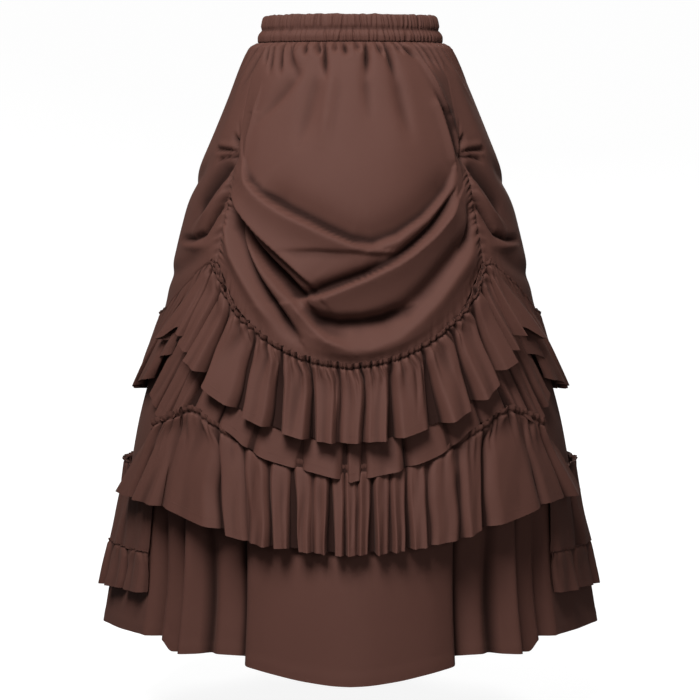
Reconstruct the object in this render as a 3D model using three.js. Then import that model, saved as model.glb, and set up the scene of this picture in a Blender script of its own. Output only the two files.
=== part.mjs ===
// A tiered ruffle skirt, filled out as if it were worn, with nobody in it.
// Units are millimetres. +Z is up, the front faces -Y, and the origin is the centre of the waistband.
// An angle is in degrees round the skirt: 0 at the centre front, 90 at the right side, 180 at the back.
// "out" is the distance of a cloth's middle surface outside the plain skirt form.
import * as THREE from 'three';

// Driving sizes
const BAND_TOP = 20;
const BAND_BOTTOM = -20;
const HEM_Z = -885;
const SEAM_GAP = 0.3;
const PANEL_WALL = 1.6;
const RUFFLE_WALL = 1.4;
const BAND_GATHERS = 64;
const UNDER_SEAM_ANGLE = 57;
const TIER_EDGE_ANGLE = 60.4;
const FOLDS_START_Z = -560;
const TOP_Z = BAND_BOTTOM - SEAM_GAP;

// The plain form that every layer hangs from: half width, front depth and back depth of each level.
// power is 2 for an oval section, and less for one that is flatter between the front and the sides.
const FORM = [
  { z: -885, half: 365, front: 328, back: 355, power: 1.75 },
  { z: -820, half: 354, front: 316, back: 345, power: 1.78 },
  { z: -740, half: 340.5, front: 301, back: 331, power: 1.82 },
  { z: -660, half: 327.5, front: 285, back: 316, power: 1.86 },
  { z: -580, half: 314.5, front: 268, back: 300, power: 1.9 },
  { z: -500, half: 294, front: 249, back: 281, power: 1.93 },
  { z: -425, half: 274, front: 231, back: 262, power: 1.95 },
  { z: -355, half: 255, front: 214, back: 243, power: 1.97 },
  { z: -285, half: 236, front: 196, back: 222, power: 2 },
  { z: -210, half: 213, front: 175, back: 196, power: 2 },
  { z: -140, half: 187, front: 152, back: 166, power: 2 },
  { z: -75, half: 158, front: 124, back: 131, power: 2 },
  { z: -40, half: 139, front: 103, back: 108, power: 2 },
  { z: -20, half: 128, front: 92, back: 95, power: 2 },
  { z: 20, half: 128, front: 92, back: 95, power: 2 },
];

// How far the hem stands in or out of the form: soft upright folds, deepest at the front gores.
const HEM_FOLDS = [
  { angle: 0, out: 4 }, { angle: 12, out: 0 }, { angle: 20, out: -4 }, { angle: 24, out: -12 },
  { angle: 27, out: -42 }, { angle: 35, out: -34 }, { angle: 42, out: -24 }, { angle: 46, out: -12 },
  { angle: 49, out: -40 }, { angle: 52, out: -32 }, { angle: 55, out: -26 }, { angle: 57, out: -40 },
  { angle: 60, out: -14 }, { angle: 66, out: -15 }, { angle: 74, out: -10 }, { angle: 82, out: -2 },
  { angle: 89, out: 7 }, { angle: 96, out: 2 }, { angle: 105, out: -14 }, { angle: 115, out: 4 },
  { angle: 127, out: -16 }, { angle: 138, out: 5 }, { angle: 149, out: -16 }, { angle: 160, out: 4 },
  { angle: 171, out: -12 }, { angle: 180, out: -4 },
];
const HEM_RISE = [
  { angle: 0, rise: 0 }, { angle: 25, rise: 10 }, { angle: 45, rise: 14 }, { angle: 65, rise: 12 },
  { angle: 90, rise: 4 }, { angle: 120, rise: 0 }, { angle: 180, rise: 0 },
];

// The underskirt lies a little inside the form where the overskirt covers it.
const UNDER_OUT = [
  { z: -525, out: 0.8 }, { z: -470, out: -5 }, { z: -100, out: -4 }, { z: -45, out: -0.8 },
  { z: -20, out: 0.8 },
];

// The overskirt: its side seams, how far it stands out, and the line where its ruffles are sewn on.
const SIDE_SEAM = [
  { z: -460, angle: 47 }, { z: -327, angle: 47.4 }, { z: -250, angle: 48.6 }, { z: -181, angle: 50 },
  { z: -100, angle: 55 }, { z: -20, angle: 60 },
];
const OVER_OUT = [
  { z: -470, out: 8 }, { z: -327, out: 8 }, { z: -200, out: 7 }, { z: -100, out: 4.5 },
  { z: -20, out: 3 },
];
const FRONT_BULGE = 8;
const BACK_BULGE = 5;
const FRONT_HEADING = [
  { angle: 0, z: -463 }, { angle: 10, z: -456 }, { angle: 19, z: -440 }, { angle: 27, z: -418 },
  { angle: 33, z: -398 }, { angle: 37, z: -381 }, { angle: 41, z: -358 }, { angle: 47.5, z: -327 },
];
const BACK_HEADING = [
  { angle: 47.5, z: -327 }, { angle: 60, z: -353 }, { angle: 75, z: -380 },
  { angle: 90, z: -398 }, { angle: 120, z: -425 }, { angle: 150, z: -440 }, { angle: 180, z: -446 },
];

// Drapery of the overskirt. Each fold follows its points from [angle, z] to [angle, z]. height is
// outward for a ridge and inward for a trough; upper and lower are its widths on the two sides.
const FRONT_FOLDS = [
  { height: -7, upper: 12, lower: 7, // crease under the smooth upper panel
    line: [[-44.6, -185], [-38.8, -212], [-28.6, -238], [-16.7, -265], [-6.8, -284], [2.8, -298],
      [9.1, -290], [19.1, -269], [27, -251], [37, -219], [42.4, -192]] },
  { height: 6, upper: 9, lower: 16, // first swag
    line: [[-42.8, -212], [-30.6, -258], [-16.6, -292], [0.2, -309], [13.4, -300], [25.5, -273],
      [37.9, -228]] },
  { height: 7, upper: 14, lower: 7, // its lower left edge
    line: [[-43.4, -233], [-36, -254], [-26.8, -287], [-22.6, -308], [-15.3, -329], [-11.2, -348]] },
  { height: -9, upper: 8, lower: 14, // pocket under that edge
    line: [[-42.2, -250], [-36, -276], [-27.8, -310], [-21.3, -342], [-14.7, -368], [-9.1, -384]] },
  { height: -5, upper: 8, lower: 6, // crease over the second swag
    line: [[38, -224], [27.8, -266], [18.7, -298], [12.7, -318]] },
  { height: 8, upper: 8, lower: 18, // second swag, from the right tie to the left
    line: [[40.7, -228], [30, -272], [20.2, -306], [14.7, -324], [5.5, -346], [-3.4, -362],
      [-12.9, -374]] },
  { height: -9, upper: 12, lower: 14, // pocket under the second swag
    line: [[-14.6, -375], [-9, -390], [-1.2, -400], [8.2, -394], [16.5, -378], [25.1, -351],
      [31.2, -332], [37.8, -310], [43.1, -284]] },
  { height: 7, upper: 14, lower: 18, // lowest swag
    line: [[-44.5, -250], [-41.4, -262], [-32.9, -307], [-23.8, -346], [-15.6, -383], [-8.2, -418],
      [0, -434], [12.3, -426], [24.1, -395], [34.5, -355], [41.1, -320], [44.8, -270]] },
  { height: -6, upper: 8, lower: 8, // left trough from the tie to the ruffle
    line: [[-44, -262], [-40, -296], [-33.2, -334], [-26.4, -366], [-21.6, -396], [-17.4, -420]] },
  { height: 4, upper: 8, lower: 8, // left ridge beside it
    line: [[-44.8, -270], [-42.1, -297], [-35.8, -337], [-28.5, -377], [-22.5, -412]] },
];
const BACK_FOLDS = [
  { height: -5, upper: 9, lower: 12, line: [[54, -190], [59, -231], [67, -275]] },
  { height: 5, upper: 10, lower: 14, line: [[52, -212], [58, -256], [65, -294], [76, -318]] },
  { height: -4, upper: 12, lower: 14, line: [[56, -250], [72, -330], [90, -350], [120, -368]] },
  { height: 5, upper: 20, lower: 24, line: [[60, -200], [90, -290], [130, -335], [180, -350]] },
  { height: -5, upper: 18, lower: 18, line: [[70, -190], [110, -252], [150, -285], [180, -292]] },
];
const EDGE_TAPER = 30;
const FOLD_END = 40;

// Ruffles: where each valley between two flutes starts at the heading and ends at the hem.
const UPPER_FRONT = [
  { head: -47.2, hem: -50.4 }, { head: -45.5, hem: -48.4 }, { head: -41.1, hem: -45.2 },
  { head: -36.5, hem: -39.7 }, { head: -27, hem: -29 }, { head: -18.9, hem: -19.1 },
  { head: -10.4, hem: -9.8 }, { head: -3.1, hem: -3.1 }, { head: 4.4, hem: 3.8 },
  { head: 11.2, hem: 10.7 }, { head: 20.3, hem: 21.7 }, { head: 29.9, hem: 32.1 },
  { head: 37.4, hem: 40.1 }, { head: 41.5, hem: 45.4 }, { head: 45.5, hem: 48.4 },
  { head: 47.2, hem: 50.4 },
];
const UPPER_FRONT_HEM = [
  { angle: 0, z: -560 }, { angle: 10, z: -555 }, { angle: 20, z: -542 }, { angle: 27, z: -528 },
  { angle: 32.6, z: -513 }, { angle: 37, z: -496 }, { angle: 40, z: -478 }, { angle: 44, z: -462 },
  { angle: 46, z: -450 }, { angle: 48, z: -436 }, { angle: 50.4, z: -418 },
];
const LOWER_FRONT = [
  { head: -47.2, hem: -68 }, { head: -44.5, hem: -61 }, { head: -41, hem: -55 },
  { head: -36, hem: -46 }, { head: -29, hem: -36 }, { head: -21, hem: -25.7 },
  { head: -11, hem: -13.1 }, { head: -1.5, hem: -1.5 }, { head: 3.5, hem: 3.5 },
  { head: 12, hem: 14.5 }, { head: 21.5, hem: 26.5 }, { head: 29, hem: 36.5 },
  { head: 36, hem: 46 }, { head: 41, hem: 55 }, { head: 44.5, hem: 61 }, { head: 47.2, hem: 68 },
];
const LOWER_FRONT_HEM = [
  { angle: 0, z: -612 }, { angle: 13, z: -597 }, { angle: 21, z: -586 }, { angle: 26, z: -574 },
  { angle: 32, z: -552 }, { angle: 36, z: -545 }, { angle: 42, z: -530 }, { angle: 47, z: -526 },
  { angle: 52, z: -548 }, { angle: 56, z: -553 }, { angle: 61, z: -540 }, { angle: 68, z: -512 },
];
const BACK_HALF = [
  { head: 47.8, hem: 51 }, { head: 52.5, hem: 73.5 }, { head: 58, hem: 80.5 }, { head: 65, hem: 87.5 },
  { head: 74, hem: 94 }, { head: 84, hem: 101 }, { head: 95, hem: 109 }, { head: 107, hem: 118 },
  { head: 121, hem: 129 }, { head: 136, hem: 141 }, { head: 151, hem: 154 }, { head: 166, hem: 167 },
];
const BACK_HEM = [
  { angle: 51, z: -412 }, { angle: 60, z: -426 }, { angle: 70, z: -440 }, { angle: 73, z: -455 },
  { angle: 77, z: -505 }, { angle: 82, z: -519 }, { angle: 90, z: -524 }, { angle: 110, z: -538 },
  { angle: 140, z: -552 }, { angle: 180, z: -558 },
];
const TIER_FRONT = [
  { head: -60, hem: -73 }, { head: -56, hem: -62 }, { head: -49, hem: -50.6 },
  { head: -36, hem: -32 }, { head: -28, hem: -25 }, { head: -21, hem: -19.2 },
  { head: -15, hem: -14 }, { head: -10, hem: -9.5 }, { head: -5.5, hem: -5.2 },
  { head: -1.5, hem: -1.5 }, { head: 2.1, hem: 2.1 }, { head: 6, hem: 5.9 }, { head: 10.5, hem: 10.3 },
  { head: 15, hem: 14.5 }, { head: 20, hem: 19.6 }, { head: 28, hem: 27.5 }, { head: 36, hem: 33.5 },
  { head: 49, hem: 51 }, { head: 56, hem: 62 }, { head: 60, hem: 73 },
];
const TIER_HEADING = [
  { angle: 0, z: -600 }, { angle: 20, z: -588 }, { angle: 30, z: -566 }, { angle: 35, z: -552 },
  { angle: 39, z: -542 }, { angle: 44, z: -531 }, { angle: 50, z: -540 }, { angle: 60, z: -562 },
];
const TIER_HEM = [
  { angle: 0, z: -707 }, { angle: 10, z: -704 }, { angle: 20, z: -699 }, { angle: 28, z: -693 },
  { angle: 33, z: -684 }, { angle: 41, z: -676 }, { angle: 50, z: -666 }, { angle: 73, z: -663 },
];
const BACK_PANEL_HEADING = [
  { angle: 57, z: -628 }, { angle: 90, z: -633 }, { angle: 180, z: -642 },
];
const BACK_PANEL_HEM = [
  { angle: 57, z: -744 }, { angle: 90, z: -757 }, { angle: 180, z: -768 },
];
const BACK_FLOUNCE_HEM = [
  { angle: 57, z: -800 }, { angle: 75, z: -812 }, { angle: 90, z: -822 }, { angle: 180, z: -834 },
];

const FABRIC = { color: 0x62463f, roughness: 0.72, metalness: 0 };

// Reads one column of a table at a place along another column, through a smooth curve.
function read(table, axis, column, place) {
  const last = table.length - 1;
  const at = Math.min(Math.max(place, table[0][axis]), table[last][axis]);
  let i = 0;
  while (i < last - 1 && table[i + 1][axis] < at) i += 1;
  const rate = (k) => (table[k + 1][column] - table[k][column]) / (table[k + 1][axis] - table[k][axis]);
  const slope = (k) => {
    if (k === 0 || k === last) return rate(Math.min(k, last - 1));
    const before = rate(k - 1);
    const after = rate(k);
    return before * after <= 0 ? 0 : (2 * before * after) / (before + after);
  };
  const span = table[i + 1][axis] - table[i][axis];
  const t = (at - table[i][axis]) / span;
  const start = table[i][column] * (1 + 2 * t) * (1 - t) ** 2;
  const end = table[i + 1][column] * (3 - 2 * t) * t ** 2;
  return start + end + span * t * (1 - t) * (slope(i) * (1 - t) - slope(i + 1) * t);
}

const mix = THREE.MathUtils.lerp;
const ease = THREE.MathUtils.smoothstep;

// The angle from the centre front to either side, 0 to 180.
function turned(angle) {
  const whole = Math.abs(angle) % 360;
  return whole > 180 ? 360 - whole : whole;
}

function onForm(angle, z, out) {
  const around = THREE.MathUtils.degToRad(angle);
  const side = Math.sin(around);
  const forward = Math.cos(around);
  const power = 2 / read(FORM, 'z', 'power', z);
  const half = read(FORM, 'z', 'half', z) + out;
  const depth = read(FORM, 'z', forward > 0 ? 'front' : 'back', z) + out;
  const x = half * Math.sign(side) * Math.abs(side) ** power;
  const y = -depth * Math.sign(forward) * Math.abs(forward) ** power;
  return new THREE.Vector3(x, y, z);
}

// A closed cloth wall over a grid of points. Its columns run to the right as seen from outside and
// its rows run down. A ring joins its last column to its first. insideGrid is given where the inner
// side is plainer than the outer side.
function clothWall(name, grid, wall, ring = false, insideGrid = null) {
  const columns = grid.length;
  const rows = grid[0].length;
  const beside = (i, step) => {
    if (ring) return (i + step + columns) % columns;
    return Math.min(Math.max(i + step, 0), columns - 1);
  };
  const positions = [];
  const layer = (side) => {
    for (let i = 0; i < columns; i += 1) {
      for (let j = 0; j < rows; j += 1) {
        const across = grid[beside(i, 1)][j].clone().sub(grid[beside(i, -1)][j]);
        const down = grid[i][Math.min(j + 1, rows - 1)].clone().sub(grid[i][Math.max(j - 1, 0)]);
        const outward = down.cross(across);
        const sideEdge = !ring && (i === 0 || i === columns - 1);
        if (sideEdge) outward.copy(grid[i][j]);
        if (sideEdge || j === 0 || j === rows - 1) outward.z = 0;
        outward.normalize();
        const inner = side < 0 && insideGrid;
        const point = inner ? insideGrid[i][j] : grid[i][j].clone().addScaledVector(outward, side * wall / 2);
        positions.push(point.x, point.y, point.z);
      }
    }
  };
  layer(1);
  layer(-1);
  const half = columns * rows;
  const faces = [];
  const quad = (a, b, c, d) => faces.push(a, b, c, a, c, d);
  const spans = ring ? columns : columns - 1;
  for (let i = 0; i < spans; i += 1) {
    const left = i * rows;
    const right = beside(i, 1) * rows;
    for (let j = 0; j < rows - 1; j += 1) {
      quad(left + j, left + j + 1, right + j + 1, right + j);
      quad(half + left + j, half + right + j, half + right + j + 1, half + left + j + 1);
    }
    const low = rows - 1;
    quad(left, right, half + right, half + left);
    quad(left + low, half + left + low, half + right + low, right + low);
  }
  if (!ring) {
    const right = (columns - 1) * rows;
    for (let j = 0; j < rows - 1; j += 1) {
      quad(j, half + j, half + j + 1, j + 1);
      quad(right + j, right + j + 1, half + right + j + 1, half + right + j);
    }
  }
  const geometry = new THREE.BufferGeometry();
  geometry.setAttribute('position', new THREE.Float32BufferAttribute(positions, 3));
  geometry.setIndex(faces);
  geometry.computeVertexNormals();
  const mesh = new THREE.Mesh(geometry, new THREE.MeshStandardMaterial(FABRIC));
  mesh.name = name;
  return mesh;
}

function makeGrid(columns, rows, place) {
  return columns.map((column) => rows.map((row) => place(column, row)));
}

function evenSteps(count, from = 0, to = 1) {
  return Array.from({ length: count + 1 }, (_, i) => from + ((to - from) * i) / count);
}

// Waistband: elastic in two casings, with upright gathers in its outer side.
const BAND_INSIDE_OUT = 0;
const GATHER_HEIGHT = 0.9;
const BAND_SECTION = [
  { z: BAND_TOP, out: 3.6 }, { z: 11, out: 6.2 }, { z: -1.5, out: 4.4 }, { z: -12, out: 6.2 },
  { z: BAND_BOTTOM, out: 4.8 },
];
function waistband() {
  const ribs = evenSteps(BAND_GATHERS * 2 - 1, 0, BAND_GATHERS * 2 - 1);
  const degrees = 360 / ribs.length;
  const outside = makeGrid(ribs, BAND_SECTION, (rib, level) => {
    const raised = rib % 2 === 0 ? GATHER_HEIGHT : -GATHER_HEIGHT;
    return onForm(rib * degrees, level.z, level.out + raised);
  });
  const inside = makeGrid(ribs, BAND_SECTION, (rib, level) => onForm(rib * degrees, level.z, BAND_INSIDE_OUT));
  return clothWall('waistband', outside, 0, true, inside);
}

// Underskirt: a front and a back panel from the waistband to the hem, parted at the side seams.
function underFold(angle, z) {
  const grown = ease(FOLDS_START_Z - z, 0, FOLDS_START_Z - HEM_Z);
  return grown * read(HEM_FOLDS, 'angle', 'out', turned(angle));
}
const UNDER_LEVELS = [TOP_Z, -38, -60, -90, -140, -210, -300, -420, -540, -620, -700, -790, HEM_Z];
function underskirt(name, columns) {
  const place = (angle, level) => {
    const hem = HEM_Z + read(HEM_RISE, 'angle', 'rise', turned(angle));
    const z = mix(TOP_Z, hem, (TOP_Z - level) / (TOP_Z - HEM_Z));
    return onForm(angle, z, read(UNDER_OUT, 'z', 'out', z) + underFold(angle, z));
  };
  return clothWall(name, makeGrid(columns, UNDER_LEVELS, place), PANEL_WALL);
}
const FRONT_COLUMNS = HEM_FOLDS.map((fold) => fold.angle).filter((angle) => angle > 0 && angle < UNDER_SEAM_ANGLE);
const BACK_COLUMNS = HEM_FOLDS.map((fold) => fold.angle).filter((angle) => angle > UNDER_SEAM_ANGLE && angle < 180);
const SEAM_HALF_ANGLE = 0.1;
function underskirtFront() {
  const edge = UNDER_SEAM_ANGLE - SEAM_HALF_ANGLE;
  const right = [6, ...FRONT_COLUMNS, edge];
  return underskirt('underskirt_front', [...right.map((angle) => -angle).reverse(), 0, ...right]);
}
function underskirtBack() {
  const right = [UNDER_SEAM_ANGLE + SEAM_HALF_ANGLE, ...BACK_COLUMNS];
  return underskirt('underskirt_back', [...right, 180, ...right.map((angle) => 360 - angle).reverse()]);
}

// Overskirt: a draped front and a plainer back, parted at the side seams.
function foldRelief(folds, angle, z) {
  const arc = THREE.MathUtils.degToRad(read(FORM, 'z', 'half', z));
  let relief = 0;
  for (const fold of folds) {
    let nearest = Infinity;
    let above = false;
    let reached = 0;
    let place = 0;
    for (let i = 0; i < fold.line.length - 1; i += 1) {
      const [startAngle, startZ] = fold.line[i];
      const [endAngle, endZ] = fold.line[i + 1];
      const alongX = (endAngle - startAngle) * arc;
      const alongZ = endZ - startZ;
      const toX = (angle - startAngle) * arc;
      const toZ = z - startZ;
      const length = Math.hypot(alongX, alongZ);
      const t = Math.min(Math.max((toX * alongX + toZ * alongZ) / length ** 2, 0), 1);
      const distance = Math.hypot(toX - t * alongX, toZ - t * alongZ);
      if (distance < nearest) {
        nearest = distance;
        place = reached + t * length;
        above = (alongX * toZ - alongZ * toX) * Math.sign(alongX || 1) > 0;
      }
      reached += length;
    }
    const faded = ease(place, -FOLD_END / 2, FOLD_END) * ease(reached - place, -FOLD_END / 2, FOLD_END);
    relief += faded * fold.height * Math.exp(-((nearest / (above ? fold.upper : fold.lower)) ** 2));
  }
  return relief;
}
function seamAngle(z) {
  return read(SIDE_SEAM, 'z', 'angle', z);
}
function overskirtFront() {
  const place = (across, row) => {
    const heading = read(FRONT_HEADING, 'angle', 'z', Math.abs(across) * seamAngle(BACK_HEADING[0].z));
    const z = mix(TOP_Z, heading + SEAM_GAP, row);
    const angle = across * (seamAngle(z) - SEAM_HALF_ANGLE);
    const side = 1 - across ** 2;
    const fromSeam = (1 - Math.abs(across)) * 200;
    const taper = ease(fromSeam, 0, EDGE_TAPER) * ease(z - heading, 0, EDGE_TAPER);
    const bulge = FRONT_BULGE * side * Math.sin(Math.PI * row) ** 2;
    const out = read(OVER_OUT, 'z', 'out', z) + bulge + taper * foldRelief(FRONT_FOLDS, angle, z);
    return onForm(angle, z, out);
  };
  return clothWall('overskirt_front', makeGrid(evenSteps(28, -1, 1), evenSteps(22), place), PANEL_WALL);
}
function overskirtBack() {
  const place = (across, row) => {
    const turnedAt = (z) => 180 - Math.abs(across) * (180 - seamAngle(z));
    const heading = read(BACK_HEADING, 'angle', 'z', turnedAt(BACK_HEADING[0].z));
    const z = mix(TOP_Z, heading + SEAM_GAP, row);
    const angle = 180 + across * (180 - seamAngle(z) - SEAM_HALF_ANGLE);
    const taper = ease((1 - Math.abs(across)) * 400, 0, EDGE_TAPER) * ease(z - heading, 0, EDGE_TAPER);
    const bulge = BACK_BULGE * (1 - across ** 4) * Math.sin(Math.PI * row) ** 2;
    const out = read(OVER_OUT, 'z', 'out', z) + bulge + taper * foldRelief(BACK_FOLDS, turned(angle), z);
    return onForm(angle, z, out);
  };
  return clothWall('overskirt_back', makeGrid(evenSteps(26, -1, 1), evenSteps(11), place), PANEL_WALL);
}

// A gathered ruffle: broad flutes with narrow valleys, flaring from its heading to its hem.
// valleys are as above; heading and hem give z at an angle; valleyOut and fluteDepth are given at the
// heading and at the hem; base is the relief of what it lies on.
function ruffle({ name, valleys, heading, hem, valleyOut, fluteDepth, phases, rows, pinch, base }) {
  const columns = [];
  for (let i = 0; i < valleys.length - 1; i += 1) phases.forEach((phase) => columns.push(i + phase));
  columns.push(valleys.length - 1);
  const place = (column, row) => {
    const i = Math.min(Math.floor(column), valleys.length - 2);
    const phase = (column - i) * 2 * Math.PI;
    const head = mix(valleys[i].head, valleys[i + 1].head, column - i);
    const foot = mix(valleys[i].hem, valleys[i + 1].hem, column - i);
    const z = mix(read(heading, 'angle', 'z', turned(head)) - SEAM_GAP, read(hem, 'angle', 'z', turned(foot)), row);
    const width = valleys[i + 1].hem - valleys[i].hem;
    const angle = mix(head, foot, row) - pinch * width * Math.sin(phase) * row;
    const flute = 1 - Math.cos(phase / 2) ** 6;
    const depth = mix(fluteDepth[0], fluteDepth[1], row ** 0.85);
    const out = mix(valleyOut[0], valleyOut[1], row) + depth * flute + (base ? base(angle, z) : 0);
    return onForm(angle, z, out);
  };
  return clothWall(name, makeGrid(columns, rows, place), RUFFLE_WALL);
}
const FIVE_PHASES = [0, 0.15, 0.33, 0.67, 0.85];
const FOUR_PHASES = [0, 0.2, 0.5, 0.8];
const FOUR_ROWS = [0, 0.2, 0.6, 1];
const THREE_ROWS = [0, 0.4, 1];

function mirrored(half) {
  const other = half.map(({ head, hem }) => ({ head: 360 - head, hem: 360 - hem })).reverse();
  return [...half, { head: 180, hem: 180 }, ...other];
}
function evenValleys(count, from, to) {
  return evenSteps(count, from, to).map((angle) => ({ head: angle, hem: angle }));
}

const skirt = new THREE.Group();
skirt.add(waistband());
skirt.add(underskirtFront());
skirt.add(underskirtBack());
skirt.add(overskirtFront());
skirt.add(overskirtBack());
skirt.add(ruffle({
  name: 'overskirt_ruffle_upper', valleys: UPPER_FRONT, heading: FRONT_HEADING, hem: UPPER_FRONT_HEM,
  valleyOut: [8.8, 17], fluteDepth: [2, 15], phases: FIVE_PHASES, rows: FOUR_ROWS, pinch: 0.06,
}));
skirt.add(ruffle({
  name: 'overskirt_ruffle_lower', valleys: LOWER_FRONT, heading: FRONT_HEADING, hem: LOWER_FRONT_HEM,
  valleyOut: [5.6, 10], fluteDepth: [1.4, 7], phases: FIVE_PHASES, rows: THREE_ROWS, pinch: 0.05,
}));
skirt.add(ruffle({
  name: 'overskirt_ruffle_back', valleys: mirrored(BACK_HALF), heading: BACK_HEADING, hem: BACK_HEM,
  valleyOut: [8.8, 13], fluteDepth: [2, 12], phases: FOUR_PHASES, rows: FOUR_ROWS, pinch: 0.05,
}));
skirt.add(ruffle({
  name: 'underskirt_ruffle_front', valleys: TIER_FRONT, heading: TIER_HEADING, hem: TIER_HEM,
  valleyOut: [2.6, 9], fluteDepth: [2, 13], phases: FIVE_PHASES, rows: FOUR_ROWS, pinch: 0.06,
}));
skirt.add(ruffle({
  name: 'underskirt_tier_back', heading: BACK_PANEL_HEADING, hem: BACK_PANEL_HEM, base: underFold,
  valleys: evenValleys(14, TIER_EDGE_ANGLE, 360 - TIER_EDGE_ANGLE),
  valleyOut: [2.6, 6], fluteDepth: [2, 5], phases: FOUR_PHASES, rows: THREE_ROWS, pinch: 0,
}));
skirt.add(ruffle({
  name: 'underskirt_ruffle_back', heading: BACK_PANEL_HEM, hem: BACK_FLOUNCE_HEM, base: underFold,
  valleys: evenValleys(20, TIER_EDGE_ANGLE, 360 - TIER_EDGE_ANGLE),
  valleyOut: [6, 5], fluteDepth: [2, 10], phases: FOUR_PHASES, rows: THREE_ROWS, pinch: 0.04,
}));

export default skirt;
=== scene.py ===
import math

import bmesh
import bpy
import numpy as np
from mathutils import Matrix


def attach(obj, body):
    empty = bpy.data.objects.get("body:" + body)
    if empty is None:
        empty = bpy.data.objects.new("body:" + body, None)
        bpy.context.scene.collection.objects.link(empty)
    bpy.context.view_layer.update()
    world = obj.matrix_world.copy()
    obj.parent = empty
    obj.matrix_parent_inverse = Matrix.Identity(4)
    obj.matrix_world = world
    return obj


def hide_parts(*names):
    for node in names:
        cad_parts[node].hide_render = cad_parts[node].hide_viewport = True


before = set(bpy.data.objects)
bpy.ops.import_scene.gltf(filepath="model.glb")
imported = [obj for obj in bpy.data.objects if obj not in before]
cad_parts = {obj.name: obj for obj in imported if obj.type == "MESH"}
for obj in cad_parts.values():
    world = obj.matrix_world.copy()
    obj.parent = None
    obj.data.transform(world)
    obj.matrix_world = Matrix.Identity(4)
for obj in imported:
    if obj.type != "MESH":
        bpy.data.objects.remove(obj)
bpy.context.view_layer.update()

# Waistband
# A strip of the skirt cloth sewn into two casings, one above the other, with elastic in each.
# The elastic draws it up, so both casings are ribbed with small upright gathers.

MM = 0.001
BAND_BOTTOM = -20.0
HEM_Z = -885.0

# The plain form that every layer hangs from, in millimetres. power is 2 for an oval section, and
# less for one that is flatter between the front and the sides.
FORM = [
    dict(z=-885, half=365, front=328, back=355, power=1.75),
    dict(z=-820, half=354, front=316, back=345, power=1.78),
    dict(z=-740, half=340.5, front=301, back=331, power=1.82),
    dict(z=-660, half=327.5, front=285, back=316, power=1.86),
    dict(z=-580, half=314.5, front=268, back=300, power=1.9),
    dict(z=-500, half=294, front=249, back=281, power=1.93),
    dict(z=-425, half=274, front=231, back=262, power=1.95),
    dict(z=-355, half=255, front=214, back=243, power=1.97),
    dict(z=-285, half=236, front=196, back=222, power=2),
    dict(z=-210, half=213, front=175, back=196, power=2),
    dict(z=-140, half=187, front=152, back=166, power=2),
    dict(z=-75, half=158, front=124, back=131, power=2),
    dict(z=-40, half=139, front=103, back=108, power=2),
    dict(z=-20, half=128, front=92, back=95, power=2),
    dict(z=20, half=128, front=92, back=95, power=2),
]


def read(table, axis, column, place):
    """Reads one column of a table along another, through a smooth curve that never overshoots."""
    x = np.array([row[axis] for row in table], float)
    y = np.array([row[column] for row in table], float)
    rate = np.diff(y) / np.diff(x)
    both = rate[:-1] * rate[1:]
    total = np.where(both > 0, rate[:-1] + rate[1:], 1.0)
    slope = np.concatenate([rate[:1], np.where(both > 0, 2 * both / total, 0.0), rate[-1:]])
    at = np.clip(place, x[0], x[-1])
    i = np.clip(np.searchsorted(x, at, side="right") - 1, 0, len(x) - 2)
    span = x[i + 1] - x[i]
    t = (at - x[i]) / span
    start = y[i] * (1 + 2 * t) * (1 - t) ** 2
    end = y[i + 1] * (3 - 2 * t) * t**2
    return start + end + span * t * (1 - t) * (slope[i] * (1 - t) - slope[i + 1] * t)


def on_form(angle, z, out):
    """Points at an angle round the skirt, 0 at the centre front, out millimetres off the form."""
    side, forward = np.sin(np.radians(angle)), np.cos(np.radians(angle))
    power = 2 / read(FORM, "z", "power", z)
    half = read(FORM, "z", "half", z) + out
    depth = np.where(forward > 0, read(FORM, "z", "front", z), read(FORM, "z", "back", z)) + out
    x = half * np.sign(side) * np.abs(side) ** power
    y = -depth * np.sign(forward) * np.abs(forward) ** power
    return np.stack([x, y, z], axis=-1)


def mix(a, b, t):
    """The value t of the way from a to b."""
    return a + (b - a) * t


def ease(x, low, high):
    """A smooth step from 0 at low to 1 at high."""
    t = np.clip((x - low) / (high - low), 0, 1)
    return t * t * (3 - 2 * t)


def wander(place, spacing, seed, period=4096):
    """An uneven wave between -1 and 1 along a line, from seeded draws a spacing apart."""
    draws = np.random.default_rng(seed).uniform(-1, 1, period)
    i = np.floor(place / spacing).astype(int)
    t = place / spacing - i
    return mix(draws[i % period], draws[(i + 1) % period], t * t * (3 - 2 * t))


def gathers(place, spacing, seed, width, period=4096):
    """Narrow valleys of uneven spacing and depth along a line: 0 between them, down to -1 in them."""
    rng = np.random.default_rng(seed)
    shift = rng.uniform(-0.33, 0.33, period)
    deep = rng.uniform(0.35, 1, period)
    i = np.floor(place / spacing).astype(int)
    total = np.zeros_like(place)
    for step in (-1, 0, 1, 2):
        k = (i + step) % period
        away = place / spacing - (i + step) - shift[k]
        total = total - deep[k] * np.exp(-((away * spacing / width) ** 2))
    return total


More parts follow.
